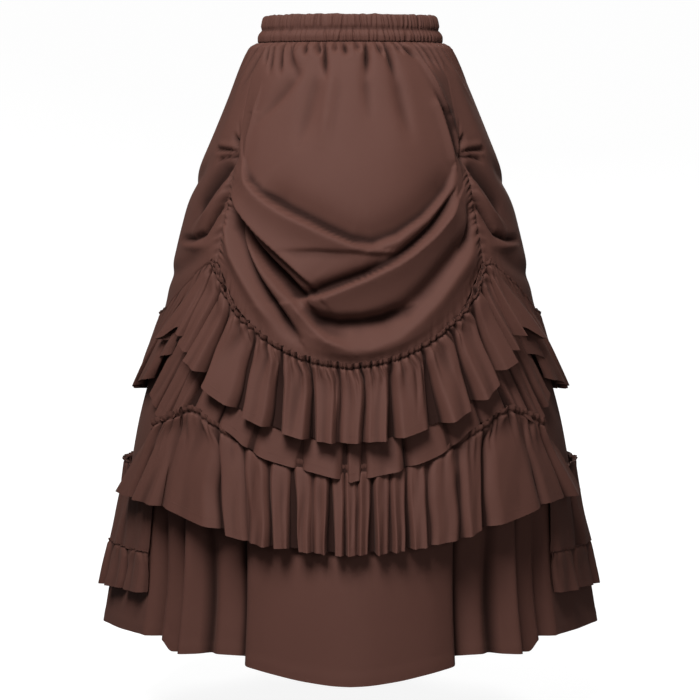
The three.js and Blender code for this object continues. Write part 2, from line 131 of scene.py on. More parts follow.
class Shade:
    """A shader value. Used in an expression, it adds its own Math nodes."""

    def __init__(self, tree, socket):
        self.tree, self.socket = tree, socket

    def math(self, operation, *values):
        node = self.tree.nodes.new("ShaderNodeMath")
        node.operation = operation
        for slot, value in zip(node.inputs, values):
            if isinstance(value, Shade):
                self.tree.links.new(value.socket, slot)
            else:
                slot.default_value = value
        return Shade(self.tree, node.outputs[0])

    def __add__(self, other):
        return self.math("ADD", self, other)

    def __radd__(self, other):
        return self.math("ADD", other, self)

    def __sub__(self, other):
        return self.math("SUBTRACT", self, other)

    def __rsub__(self, other):
        return self.math("SUBTRACT", other, self)

    def __mul__(self, other):
        return self.math("MULTIPLY", self, other)

    def __rmul__(self, other):
        return self.math("MULTIPLY", other, self)

    def __truediv__(self, other):
        return self.math("DIVIDE", self, other)

    def __rtruediv__(self, other):
        return self.math("DIVIDE", other, self)


class Finish:
    """A material and its node tree, with one method that adds any node."""

    def __init__(self, name):
        self.material = bpy.data.materials.new(name)
        self.material.use_nodes = True
        self.tree = self.material.node_tree
        self.shader = self.tree.nodes["Principled BSDF"]

    def add(self, kind, settings, inputs, output=0):
        node = self.tree.nodes.new(kind)
        for key, value in settings.items():
            setattr(node, key, value)
        self.join(node, inputs)
        return Shade(self.tree, node.outputs[output])

    def join(self, node, inputs):
        for key, value in inputs.items():
            if isinstance(value, Shade):
                self.tree.links.new(value.socket, node.inputs[key])
            else:
                node.inputs[key].default_value = value


CLOTH_BROWN = (0.1, 0.0415, 0.0312, 1)
CLOTH_SHADE = (0.085, 0.0342, 0.0254, 1)
# painted shade: the near-black brown that the cloth turns in the bottom of deep folds
CLOTH_PAINTED_SHADE = (0.014, 0.0045, 0.0030, 1)
THREAD = 0.00042
STITCH_LENGTH = 0.0032
STITCH_ROW = 0.0085


def woven_cloth(name):
    """Plain woven polyester: matt, with a slight soft sheen, fine threads and a stitched hem.

    Its colour is darkened by painted shade in the bottom of the folds, where the hollow attribute marks
    them.
    """
    finish = Finish(name)
    uv = finish.add("ShaderNodeUVMap", dict(uv_map="cut"), {})
    place = finish.add("ShaderNodeTexCoord", {}, {}, 3)
    along = finish.add("ShaderNodeSeparateXYZ", {}, {"Vector": uv}, 0)
    up = finish.add("ShaderNodeSeparateXYZ", {}, {"Vector": uv}, 1)
    warp = along.math("SINE", along * (2 * math.pi / THREAD))
    weft = along.math("SINE", up * (2 * math.pi / THREAD))
    slub = finish.add("ShaderNodeTexNoise", {}, {"Vector": place, "Scale": 420.0, "Detail": 3.0})
    soft = finish.add("ShaderNodeTexNoise", {}, {"Vector": place, "Scale": 9.0, "Detail": 2.0})
    crumple = finish.add("ShaderNodeTexNoise", {}, {"Vector": place, "Scale": 70.0, "Detail": 3.0})
    row = along.math("COMPARE", up, STITCH_ROW, 0.0006)
    dash = along.math("LESS_THAN", along.math("FRACT", along / STITCH_LENGTH), 0.72)
    stitch = row * dash
    tone = soft * 0.7 + slub * 0.3
    colour = finish.add(
        "ShaderNodeMix", dict(data_type="RGBA"),
        {"Factor": tone, "A": CLOTH_SHADE, "B": CLOTH_BROWN}, 2,
    )
    # Painted shade: the colour turns a near-black brown where the hollow attribute marks a deep fold.
    deep = finish.add("ShaderNodeAttribute", dict(attribute_name="hollow"), {}, 2)
    colour = finish.add(
        "ShaderNodeMix", dict(data_type="RGBA"),
        {"Factor": deep * 0.9, "A": colour, "B": CLOTH_PAINTED_SHADE}, 2,
    )
    height = warp * weft * 0.05 + crumple * 0.35 + stitch * 0.35
    bump = finish.add(
        "ShaderNodeBump", {}, {"Height": height, "Strength": 0.55, "Distance": 0.001}
    )
    finish.join(finish.shader, {
        "Base Color": colour, "Roughness": 0.62 + slub * 0.16 + deep * 0.2, "Normal": bump,
        "Sheen Weight": 0.035, "Sheen Roughness": 0.4, "Sheen Tint": (0.9, 0.6, 0.5, 1),
        "Specular IOR Level": 0.16,
    })
    return finish.material


skirt_cloth = woven_cloth("woven_brown_cloth")
# Size of the painted fold shade: the cloth round each point is averaged this far, in mm, and a point this
# far behind it is fully shaded.
HOLLOW_REACH = 14.0
HOLLOW_DEPTH = 5.0


def painted_fold_shade(points, ring):
    """How deep each point of a grid lies behind the cloth around it: 0 level, 1 in a deep fold. It masks the
    painted shade in the folds.
    """
    outward = points * (1, 1, 0)
    outward = outward / np.linalg.norm(outward, axis=-1, keepdims=True)
    level = points
    for axis in (0, 1):
        spacing = np.linalg.norm(np.diff(points, axis=axis), axis=-1).mean()
        reach = max(1, round(HOLLOW_REACH / spacing))
        margin = [(0, 0), (0, 0), (0, 0)]
        margin[axis] = (reach + 1, reach)
        if ring and axis:
            level = np.pad(level[:, :-1], margin, mode="wrap")
            level = np.concatenate([level, level[:, 2 * reach + 1:2 * reach + 2]], axis=1)
        else:
            level = np.pad(level, margin, mode="reflect", reflect_type="odd")
        total = np.cumsum(level, axis=axis)
        window = 2 * reach + 1
        first = np.arange(total.shape[axis] - window)
        level = np.take(total, first + window, axis=axis) - np.take(total, first, axis=axis)
        level = level / window
    behind = ((level - points) * outward).sum(axis=-1)
    return np.clip(behind / HOLLOW_DEPTH, 0, 1)


def sew(name, columns, rows, place, cut, wall=0.8, ring=False, dimmed=None):
    """A cloth piece: a grid whose points move to place(across, down), each 0 to 1, with a wall.

    cut is the piece's flat width and length in metres, which scales its cut UV map. The map's second axis is
    the distance from the hem. Each point gets a hollow attribute of painted shade, 0 to 1, from how deep it
    lies behind the cloth around it; dimmed(across, down), if given, adds more painted shade, 0 to 1, where
    the cloth lies in a deep fold.
    """
    grid = bmesh.new()
    bmesh.ops.create_grid(grid, x_segments=columns, y_segments=rows, size=0.5)
    for edge in grid.edges:
        edge.smooth = not edge.is_boundary
    mesh = bpy.data.meshes.new(name)
    grid.to_mesh(mesh)
    grid.free()
    count = len(mesh.vertices)
    flat = np.empty(count * 3)
    mesh.vertices.foreach_get("co", flat)
    across, down = flat[0::3] + 0.5, 0.5 - flat[1::3]
    points = place(across, down)
    mesh.vertices.foreach_set("co", (points * MM).ravel())
    # painted shade: how deep each point lies in a fold, which darkens the cloth's colour
    hollow = painted_fold_shade(points.reshape(rows + 1, columns + 1, 3), ring)
    if dimmed:
        hollow = np.clip(hollow.ravel() + dimmed(across, down), 0, 1)
    mesh.attributes.new("hollow", "FLOAT", "POINT").data.foreach_set("value", hollow.ravel())
    corners = np.empty(len(mesh.loops), int)
    mesh.loops.foreach_get("vertex_index", corners)
    uv = np.stack([across * cut[0], (1 - down) * cut[1]], axis=-1)[corners]
    mesh.uv_layers.new(name="cut").data.foreach_set("uv", uv.ravel())
    if ring:
        joined = bmesh.new()
        joined.from_mesh(mesh)
        bmesh.ops.remove_doubles(joined, verts=joined.verts, dist=0.00002)
        joined.to_mesh(mesh)
        joined.free()
    mesh.shade_smooth()
    piece = bpy.data.objects.new(name, mesh)
    bpy.context.scene.collection.objects.link(piece)
    mesh.materials.append(skirt_cloth)
    if wall:
        thickness = piece.modifiers.new("wall", "SOLIDIFY")
        thickness.thickness = wall * MM
        thickness.offset = 0
    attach(piece, "root")
    return piece


BAND_LENGTH = 700.0
BAND_RIBS = 96
BAND_SECTION = [
    dict(step=0, z=-19.6, out=0.4), dict(step=0.3, z=0, out=-2.4), dict(step=0.5, z=17, out=-7.4),
    dict(step=0.54, z=19.7, out=-6), dict(step=0.58, z=18.2, out=-3.4),
    dict(step=0.66, z=10, out=-0.4), dict(step=0.74, z=2, out=0.6),
    dict(step=0.765, z=-0.6, out=-0.4), dict(step=0.78, z=-2.2, out=0.2),
    dict(step=0.81, z=-5.5, out=3), dict(step=0.88, z=-12, out=5.6),
    dict(step=0.945, z=-18.4, out=5.4), dict(step=0.97, z=-19.7, out=4.4),
    dict(step=1, z=-19.9, out=1),
]


def band_place(across, down):
    """Up the inside of the band, over its top and down the two casings outside."""
    z = read(BAND_SECTION, "step", "z", down)
    out = read(BAND_SECTION, "step", "out", down)
    around = across * BAND_LENGTH
    rib = BAND_LENGTH / BAND_RIBS
    outer = ease(down, 0.52, 0.6) * (1 - ease(down, 0.965, 1))
    upper = ease(z, -3, -0.5)
    lean = 0.16 * (z + 1.4) * wander(around, rib * 2, 5, BAND_RIBS // 2)
    above = gathers(around + lean, rib, 11, 1.5, BAND_RIBS)
    below = gathers(around + lean + 4, rib, 12, 1.5, BAND_RIBS)
    fine = gathers(around + lean, rib / 2, 13, 0.9, BAND_RIBS * 2)
    groove = 0.35 + 0.65 * ease(np.abs(z + 1.4), 0.4, 5)
    ribs = mix(below, above, upper) * 3.0 + fine * 1.3 + 1.2
    swell = wander(around, rib * 1.5, 14, BAND_RIBS * 2 // 3) * 0.7
    out = out + outer * groove * (ribs + swell)
    rim = ease(down, 0.45, 0.52) * (1 - ease(down, 0.56, 0.64))
    z = z + rim * wander(around, rib * 0.75, 15, BAND_RIBS * 4 // 3) * 0.8
    return on_form(across * 360 + 180, z, out)


waistband = sew("waistband_elastic", 960, 40, band_place, (0.95, 0.16), wall=0, ring=True)
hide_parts("waistband")

# Underskirt
# A long A-line skirt in two panels of the same cloth, joined at side seams and gathered into the
# waistband. Its hem is turned up once and stitched, and hangs in soft upright folds.

TOP_Z = BAND_BOTTOM - 0.3
SIDE_SEAM_ANGLE = 57.0
FOLDS_START_Z = -560.0
TUCK_ANGLE = 56.0
TUCK_WIDTH = 6.0
TUCK_DEPTH = 24.0
HEM_FOLDS = [
    dict(angle=0, out=2), dict(angle=4, out=1.9), dict(angle=12, out=-1), dict(angle=20, out=-5),
    dict(angle=24, out=-9), dict(angle=27.4, out=-15), dict(angle=29, out=-44),
    dict(angle=32, out=-36), dict(angle=36, out=-27), dict(angle=40, out=-40), dict(angle=43, out=-25),
    dict(angle=46, out=-12), dict(angle=49, out=-40), dict(angle=52, out=-32), dict(angle=55, out=-26),
    dict(angle=57, out=-40), dict(angle=60, out=-14), dict(angle=66, out=-15), dict(angle=74, out=-10),
    dict(angle=82, out=-2), dict(angle=89, out=7), dict(angle=96, out=2), dict(angle=105, out=-14),
    dict(angle=115, out=4), dict(angle=127, out=-16), dict(angle=138, out=5), dict(angle=149, out=-16),
    dict(angle=160, out=4), dict(angle=171, out=-12), dict(angle=180, out=-4),
]
HEM_RISE = [
    dict(angle=0, rise=0.4), dict(angle=4, rise=0.8), dict(angle=12, rise=3.6), dict(angle=20, rise=8.8),
    dict(angle=24, rise=11), dict(angle=27.4, rise=12.5), dict(angle=29, rise=17), dict(angle=35, rise=18.5),
    dict(angle=42, rise=12.5), dict(angle=46, rise=10.8), dict(angle=49, rise=6), dict(angle=52, rise=4),
    dict(angle=55, rise=17.5), dict(angle=60, rise=19.5), dict(angle=66, rise=16),
    dict(angle=74, rise=11.5), dict(angle=82, rise=8), dict(angle=89, rise=5), dict(angle=105, rise=1),
    dict(angle=180, rise=0),
]
UNDER_OUT = [
    dict(z=-525, out=0.8), dict(z=-470, out=-5), dict(z=-430, out=-13), dict(z=-180, out=-13),
    dict(z=-100, out=-12), dict(z=-60, out=-8), dict(z=-35, out=-3), dict(z=-20, out=0.8),
]


def turned(angle):
    """The angle from the centre front to either side, 0 to 180."""
    whole = np.abs(angle) % 360
    return np.where(whole > 180, 360 - whole, whole)


def under_fold(angle, z):
    """How far the upright folds of the hem push the cloth out."""
    grown = ease(FOLDS_START_Z - z, 0, 0.8 * (FOLDS_START_Z - HEM_Z))
    return grown * read(HEM_FOLDS, "angle", "out", turned(angle))


def under_place(first, last):
    """One panel of the underskirt, from the first angle to the last, waist to hem."""
    def place(across, down):
        angle = mix(first, last, across)
        hem = HEM_Z + read(HEM_RISE, "angle", "rise", turned(angle))
        level = mix(down, 1 - (1 - down) ** 1.15, 1)
        z = mix(TOP_Z, hem, level)
        worn = wander(angle * 5.5, 60, 21) * 1.2 * ease(-z, 500, 800)
        turn_up = 0.5 * ease(z, hem + 17, hem + 15.5) - 0.35
        out = read(UNDER_OUT, "z", "out", z) + under_fold(angle, z) + worn + turn_up
        tuck = TUCK_DEPTH * np.exp(-(((turned(angle) - TUCK_ANGLE) / TUCK_WIDTH) ** 2))
        out = out - tuck * ease(z, -548, -500) * ease(-z, 400, 440)
        return on_form(angle, z, out)
    return place


underskirt_front = sew(
    "underskirt_front_panel", 210, 110, under_place(-SIDE_SEAM_ANGLE, SIDE_SEAM_ANGLE), (0.74, 0.90)
)
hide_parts("underskirt_front")
underskirt_back = sew(
    "underskirt_back_panel", 260, 100, under_place(SIDE_SEAM_ANGLE, 360 - SIDE_SEAM_ANGLE), (1.62, 0.90)
)
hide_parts("underskirt_back")

# Overskirt
# A shorter skirt over the first one. Its front is drawn up at two ties, so that it hangs between
# them in swags, and its side seams are ruched from the ties down to the ruffle.

SIDE_SEAM = [
    dict(z=-460, angle=47), dict(z=-327, angle=47.4), dict(z=-250, angle=48.6),
    dict(z=-181, angle=50), dict(z=-100, angle=55), dict(z=-20, angle=60),
]
OVER_OUT = [
    dict(z=-470, out=8), dict(z=-327, out=8), dict(z=-200, out=7), dict(z=-100, out=4.5),
    dict(z=-20, out=3),
]
FRONT_BULGE = 8.0
BACK_BULGE = 5.0
HEADING = [
    dict(angle=0, z=-463), dict(angle=10, z=-456), dict(angle=19, z=-440), dict(angle=27, z=-418),
    dict(angle=33, z=-398), dict(angle=37, z=-381), dict(angle=41, z=-358), dict(angle=47.5, z=-327),
    dict(angle=60, z=-357), dict(angle=68, z=-382), dict(angle=75, z=-403), dict(angle=90, z=-417),
    dict(angle=120, z=-430), dict(angle=150, z=-440), dict(angle=180, z=-446),
]

# Folds, each along points of angle and height: how high, how wide above and below the line, and
# how crisp: 2 is a soft round fold, and 1 has a sharp edge.
FRONT_FOLDS = [
    dict(height=-11, upper=24, lower=5, crisp=1.6, line=[  # the smooth panel dips behind the first swag
        (-31.9, -225), (-20.2, -249), (-13, -262), (-6.3, -277), (0.8, -290), (7.1, -293),
        (14.6, -282), (24.6, -259), (35.4, -226), (40.3, -201)]),
    dict(height=12, upper=2, lower=24, crisp=1.3, line=[  # top edge of the first swag
        (-43.8, -185), (-40.8, -201), (-38.4, -213), (-33.5, -228), (-28.4, -241), (-21.1, -257),
        (-14.6, -269), (-6.2, -285), (0.8, -298), (4.5, -303), (9.5, -305)]),
    dict(height=6, upper=2.5, lower=13, crisp=1.4, line=[  # its right end, rising to the tie
        (7, -303), (14.8, -293), (19.8, -277), (25.3, -263), (32.3, -243), (37.8, -222),
        (42.2, -196)]),
    dict(height=13, upper=24, lower=2.5, crisp=1.2, line=[  # lower left edge of the first swag
        (-45.4, -224), (-43.4, -236), (-36.7, -261), (-30.9, -281), (-23.5, -305), (-17.7, -326),
        (-12.1, -348), (-9.8, -361)]),
    dict(height=-26, upper=5, lower=16, crisp=2, line=[  # deep pocket under that edge
        (-43.9, -247), (-37.9, -273), (-31.9, -300), (-26, -322), (-20.1, -343), (-15.3, -363),
        (-12.6, -374)]),
    dict(height=11, upper=4, lower=12, crisp=1.3, line=[  # ridge below the pocket, to the lowest swag
        (-45, -262), (-41.5, -276), (-36.2, -300), (-29.2, -330), (-22.3, -358), (-16.9, -379),
        (-11.1, -408), (-6.8, -425), (-1.2, -435)]),
    dict(height=-3.5, upper=2.5, lower=13, crisp=1.4, line=[  # faint crease across the first swag
        (-21.5, -307), (-10.4, -306), (0.8, -308), (8.5, -312), (17.5, -309)]),
    dict(height=-12, upper=9, lower=4, crisp=1.8, line=[  # shade above the edge of the second swag
        (-16, -368), (-11, -362), (-2.5, -348), (4.7, -337), (12, -322)]),
    dict(height=14, upper=2, lower=30, crisp=1.25, line=[  # second swag, edge up to the right tie
        (-16.5, -374), (-11.5, -371), (-7.7, -367), (-2.5, -357), (2.8, -347), (8.3, -335),
        (14, -324), (19.1, -310), (27, -285), (35.5, -254), (39.7, -238)]),
    dict(height=-13, upper=6, lower=2.5, crisp=1.6, line=[  # thin crease above its right half
        (13, -318), (17.1, -307), (19.9, -299), (27.3, -275), (35, -245), (39.1, -228)]),
    dict(height=-16, upper=9, lower=18, crisp=2, line=[  # pocket under the second swag
        (-14.5, -384), (-8.9, -398), (-3.8, -403), (2.9, -402), (10.1, -398), (16.1, -388)]),
    dict(height=-10, upper=13, lower=12, crisp=2, line=[  # its shallower end, rising to the right
        (8, -398), (16.1, -388), (22.7, -365), (30.4, -333), (37.4, -306), (42.5, -288)]),
    dict(height=8, upper=10, lower=18, crisp=1.6, line=[  # lowest swag
        (-8, -424), (-1.2, -437), (6, -438), (14.1, -424), (20.4, -402), (27.4, -374),
        (34.3, -342), (41.1, -314), (44, -297)]),
    dict(height=-19, upper=5, lower=11, crisp=1.7, line=[  # left valley from the tie to the ruffle
        (-46.4, -246), (-41.7, -277), (-36, -311), (-29.2, -348), (-22.3, -383), (-17.8, -408),
        (-14.9, -424)]),
    dict(height=7, upper=8, lower=9, crisp=1.6, line=[  # left ridge beside the ruched seam
        (-46.9, -256), (-45, -284), (-40.6, -316), (-33.5, -352), (-27.6, -382), (-21.4, -410)]),
    dict(height=-13, upper=5, lower=7, crisp=1.6, line=[  # short dark fold beside the right tie
        (44.6, -250), (44, -270), (41.5, -292), (38.5, -306)]),
    dict(height=3, upper=7, lower=2.5, crisp=1.3, line=[  # left edge of the smooth panel
        (-46, -84), (-46.2, -118), (-45.6, -157), (-43.8, -185)]),
    dict(height=-5, upper=10, lower=9, crisp=2, line=[  # long soft folds from the waist
        (-23.6, -50), (-31.6, -90), (-40.6, -126)]),
    dict(height=4, upper=9, lower=9, crisp=2, line=[(-8.5, -50), (-9.5, -90), (-11, -160)]),
    dict(height=-4.5, upper=11, lower=11, crisp=2, line=[(-16, -50), (-18, -100), (-20, -160)]),
    dict(height=-5, upper=10, lower=10, crisp=2, line=[(22, -50), (23, -90), (24, -150)]),
    dict(height=-4, upper=8, lower=8, crisp=2, line=[(7.5, -50), (8, -120)]),
    dict(height=6, upper=6, lower=3, crisp=1.4, line=[  # ridge slanting out from the waist
        (36.9, -22), (39, -40), (42.5, -70), (45.7, -98.6), (49.1, -126), (50.2, -150)]),
    dict(height=5, upper=2, lower=9, crisp=1.4, end=12, line=[  # right edge of the smooth panel
        (41.2, -98), (42.2, -124), (42.4, -143), (42.6, -171), (42.8, -193)]),
]
POCKET = [  # the dark hollow between the smooth panel's right edge and the side seam
    dict(height=-8, upper=17, lower=2, crisp=2.2, end=14, line=[
        (43.4, -111), (44.2, -123), (44.8, -139), (45.2, -162), (45.4, -188)]),
]
POCKET_SHADE = [  # painted shade inside it, widest at its top
    dict(height=1, upper=30, lower=1.5, crisp=4, end=8, line=[(43.6, -117), (44.4, -128)]),
    dict(height=0.95, upper=21, lower=1.5, crisp=3.5, end=12, line=[(44.3, -124), (44.9, -148)]),
    dict(height=0.7, upper=11, lower=1.5, crisp=3, end=16, line=[(44.9, -142), (45.4, -196)]),
]
TIE_SHADE = [  # painted shade inside the fold that runs down from the upper tie
    dict(height=0.95, upper=25, lower=2, crisp=2.4, end=20, line=[
        (50.4, -188), (53.2, -209), (58.5, -233), (64.4, -266)]),
]
# Short creases below the band: the angle at each end, the heights, the width and how deep.
WAIST_CREASES = [
    dict(angle=-53, foot=-49, top=-24, end=-52, width=2.9, deep=0.7),
    dict(angle=-48.5, foot=-43, top=-26, end=-64, width=3.1, deep=0.9),
    dict(angle=-41.6, foot=-36, top=-24, end=-66, width=3.1, deep=0.95),
    dict(angle=-37.4, foot=-25.5, top=-24, end=-72, width=5.9, deep=0.5),
    dict(angle=-33.6, foot=-33.9, top=-21, end=-46, width=2.6, deep=0.75),
    dict(angle=-25.8, foot=-24.6, top=-21, end=-40, width=2.6, deep=0.7),
    dict(angle=-19.4, foot=-15.8, top=-20, end=-42, width=3.4, deep=0.95),
    dict(angle=-15, foot=-11.6, top=-22, end=-72, width=3.4, deep=1),
    dict(angle=-8.6, foot=-7.8, top=-20, end=-36, width=2.3, deep=0.6),
    dict(angle=-4.4, foot=-1.8, top=-19, end=-40, width=3.1, deep=0.85),
    dict(angle=3.6, foot=5, top=-19, end=-34, width=2.9, deep=0.8),
    dict(angle=9.8, foot=8.1, top=-19, end=-68, width=3.9, deep=1),
    dict(angle=15.1, foot=18, top=-19, end=-42, width=3.1, deep=0.85),
    dict(angle=20.8, foot=22.4, top=-20, end=-74, width=4.4, deep=0.85),
    dict(angle=26, foot=28.6, top=-19, end=-36, width=2.3, deep=0.7),
    dict(angle=30, foot=36, top=-20, end=-44, width=3.1, deep=0.9),
    dict(angle=39.6, foot=43.6, top=-20, end=-60, width=2.9, deep=0.7),
    dict(angle=44.4, foot=50.4, top=-20, end=-58, width=3.1, deep=0.9),
    dict(angle=50.6, foot=56, top=-20, end=-66, width=2.9, deep=0.7),
]
# Folds from the ties out to each side, and the soft level ones round the back.
SIDE_FOLDS = [
    dict(height=-9, upper=16, lower=5, crisp=1.8, end=22, line=[  # dark fold down from the tie
        (50, -186), (53.2, -207), (58.5, -231), (64.4, -264)]),
    dict(height=7, upper=6, lower=12, crisp=1.5, line=[  # ridge under it
        (49.6, -206), (52.2, -232), (57, -256), (64, -284)]),
    dict(height=-11, upper=4, lower=5, crisp=1.5, line=[  # second fold, then level to the side
        (48.6, -231), (51, -249), (54.4, -274), (57, -290), (64, -299), (76, -301)]),
    dict(height=5, upper=10, lower=4, crisp=1.5, line=[(53, -306), (60, -309), (74, -308)]),
    dict(height=-6, upper=1.8, lower=2.6, crisp=1.3, end=12, line=[(49.4, -176), (55, -172), (66, -171)]),
    dict(height=-8, upper=2.6, lower=3.4, crisp=1.3, end=12, line=[(49.6, -172), (52.6, -160), (56, -150)]),
    dict(height=-6, upper=2, lower=2.4, crisp=1.3, end=12, line=[(49, -181), (56, -181), (62, -187)]),
    dict(height=4, upper=2.6, lower=2.6, crisp=1.5, end=12, line=[(49.6, -167), (56, -166), (66, -163)]),
    dict(height=3, upper=2, lower=2, crisp=1.5, end=12, line=[(49.6, -176.5), (58, -176.5), (66, -178)]),
    dict(height=-4, upper=3, lower=3, crisp=1.5, line=[(50.6, -170), (52.4, -152), (55, -134)]),
    dict(height=-4, upper=12, lower=14, crisp=2, line=[(56, -320), (72, -345), (90, -358), (120, -374)]),
    dict(height=6, upper=20, lower=24, crisp=2, line=[
        (96, -262), (112, -306), (140, -338), (180, -350), (200, -350)]),
    dict(height=-6, upper=14, lower=18, crisp=2, line=[
        (70, -194), (110, -256), (150, -289), (180, -296), (200, -296)]),
    dict(height=6, upper=14, lower=18, crisp=2, line=[
        (98, -186), (116, -212), (150, -232), (180, -240), (200, -240)]),
    dict(height=-5, upper=12, lower=14, crisp=2, line=[(95, -340), (130, -376), (180, -392), (200, -392)]),
]
FOLD_END = 40.0
ROUND = 828.0
SEAM_FOOT_Z = -327.0
CLEARANCE = 2.2
CLEARANCE_EASE = 0.8


def fold_relief(folds, angle, z):
    """How far the folds push the cloth out, at angles and heights."""
    arc = np.radians(read(FORM, "z", "half", z))
    relief = np.zeros_like(z)
    for fold in folds:
        nearest = np.full_like(z, 1e9)
        above = np.zeros_like(z, bool)
        place = np.zeros_like(z)
        reached = 0.0
        for start, end in zip(fold["line"], fold["line"][1:]):
            along_x, along_z = (end[0] - start[0]) * arc, end[1] - start[1]
            to_x, to_z = (angle - start[0]) * arc, z - start[1]
            length = np.hypot(along_x, along_z)
            t = np.clip((to_x * along_x + to_z * along_z) / length**2, 0, 1)
            distance = np.hypot(to_x - t * along_x, to_z - t * along_z)
            closer = distance < nearest
            nearest = np.where(closer, distance, nearest)
            rising = (along_x * to_z - along_z * to_x) * (1 if end[0] >= start[0] else -1) > 0
            above = np.where(closer, rising, above)
            place = np.where(closer, reached + t * length, place)
            reached = reached + length
        width = np.where(above, fold["upper"], fold["lower"])
        end = fold.get("end", FOLD_END)
        faded = ease(place, -end / 2, end) * ease(reached - place, -end / 2, end)
        relief = relief + faded * fold["height"] * np.exp(-((nearest / width) ** fold["crisp"]))
    return relief


def seam_angle(z):
    """The angle of the overskirt's side seam at a height."""
    return read(SIDE_SEAM, "z", "angle", z)


def over_out(angle, z, level):
    """How far the overskirt stands out, at any angle. level is 0 at its top and 1 at the ruffle."""
    side = turned(angle)
    arc = np.radians(read(FORM, "z", "half", z))
    inside = side < seam_angle(z)
    u = np.where(inside, side / seam_angle(z), (180 - side) / (180 - seam_angle(z)))
    bulge = np.where(inside, FRONT_BULGE * (1 - u**2), BACK_BULGE * (1 - u**4))
    bulge = bulge * np.sin(np.pi * level) ** 2
    heading = read(HEADING, "angle", "z", side)
    low = ease(z - heading, 0, 20)
    folds = fold_relief(FRONT_FOLDS, angle, z) * ease(seam_angle(z) - side, -1, 2.5)
    folds = folds + fold_relief(SIDE_FOLDS, side, z) * ease(side - seam_angle(z), -1.5, 1)
    folds = folds + fold_relief(POCKET, angle, z)
    seam_off = (side - seam_angle(z)) * arc
    ruched = ease(-z, 190, 215) * np.exp(-((seam_off / 11) ** 2))
    ruche = ruched * gathers(z + 0.5 * np.abs(seam_off), 8, 31, 2.4) * 6.5
    seam = np.exp(-((seam_off / 1.8) ** 2)) * mix(-2.2, -0.35, ease(z, -190, -150))
    tie = -9 * np.exp(-(((side - 49.5) * arc / 6) ** 2) - ((z + 184) / 8) ** 2)
    around = angle * ROUND / 360
    lean = (TOP_Z - z) * 0.45 * np.sin(np.radians(angle))
    depth = TOP_Z - z
    reach = mix(26, 85, (wander(around, ROUND / 40, 39, 40) * 0.5 + 0.5) ** 1.5)
    crease = -gathers(around - lean, ROUND / 46, 32, 3 + depth * 0.06, 46)
    crease = crease * ease(side, 54, 60) * np.exp(-((depth / reach) ** 2))
    for fold in WAIST_CREASES:
        down = (fold["top"] - z) / (fold["top"] - fold["end"])
        off = (angle - mix(fold["angle"], fold["foot"], np.maximum(down, -0.2))) * arc
        wide = fold["width"] * mix(0.85, 1.25, np.clip(down, 0, 1))
        groove = (0.4 + 0.6 * fold["deep"]) * np.exp(-(np.abs(off / wide) ** 1.5))
        crease = np.maximum(crease, groove * (1 - ease(down, 0.5, 1.15)))
    waist = 12.5 * np.exp(-((depth / 72) ** 2)) * ease(depth, -3, 7) * (1 - crease)
    small = gathers(around - lean, ROUND / 130, 33, 1.9, 130)
    waist = waist + (1 + small) * 3 * np.exp(-((depth / 11) ** 2))
    panels = wander(angle + 4, 12, 38, 30) * 2.6 * ease(depth, 10, 60) * (1 - ease(depth, 130, 210))
    waist = waist + panels
    soft = wander(angle * 3 + z * 0.2, 36, 35, 30) * 0.5 + wander(angle * 3 - z, 54, 36, 20) * 0.5
    pucker = gathers(around * 1.5, ROUND * 1.5 / 190, 37, 2, 190) * 2.2 * np.exp(-(z - heading) / 9)
    base = read(OVER_OUT, "z", "out", z) + 0.6
    base = base - 4.2 * ease(side - seam_angle(z), 0, 12) * ease(-z, 330, 400)
    out = base + bulge + low * (folds + ruche + soft) + seam + tie + waist + pucker
    least = read(UNDER_OUT, "z", "out", z) + CLEARANCE
    lifted = least + np.logaddexp(0, (out - least) / CLEARANCE_EASE) * CLEARANCE_EASE
    return np.where(-z < 400, lifted, out)


def over_grid(front):
    """The angle and height of each point of the overskirt's front or back panel."""
    def at(across, down):
        u = across * 2 - 1
        if front:
            foot = np.abs(u) * seam_angle(SEAM_FOOT_Z)
        else:
            u = u * (1.5 - 0.5 * np.abs(u))
            foot = 180 - np.abs(u) * (180 - seam_angle(SEAM_FOOT_Z))
        z = mix(TOP_Z, read(HEADING, "angle", "z", foot) + 0.3, down)
        angle = u * seam_angle(z) if front else 180 + u * (180 - seam_angle(z))
        return angle, z
    return at


def over_place(front):
    """The overskirt's front or back panel, standing off the form by its folds."""
    def place(across, down):
        angle, z = over_grid(front)(across, down)
        return on_form(angle, z, over_out(angle, z, down))
    return place


def over_shade(front):
    """How much painted shade the cloth gets inside the two deepest folds of that panel."""
    def dimmed(across, down):
        angle, z = over_grid(front)(across, down)
        side = turned(angle)
        # painted shade in the fold down from the upper tie, and in the pocket by the smooth panel
        tie_fold_shade = fold_relief(TIE_SHADE, side, z) * ease(side - seam_angle(z), -1.5, 1)
        return np.clip(fold_relief(POCKET_SHADE, angle, z), 0, 0.9) + tie_fold_shade
    return dimmed


overskirt_front = sew("overskirt_front_panel", 210, 165, over_place(True), (0.62, 0.62),
                      dimmed=over_shade(True))
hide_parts("overskirt_front")
overskirt_back = sew("overskirt_back_panel", 230, 90, over_place(False), (1.2, 0.55),
                     dimmed=over_shade(False))
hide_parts("overskirt_back")

# Ruffles
# Strips of the same cloth, gathered along the top to about half their length and sewn on with a
# narrow crinkled heading. They fall in broad flutes with narrow, deep valleys between them.

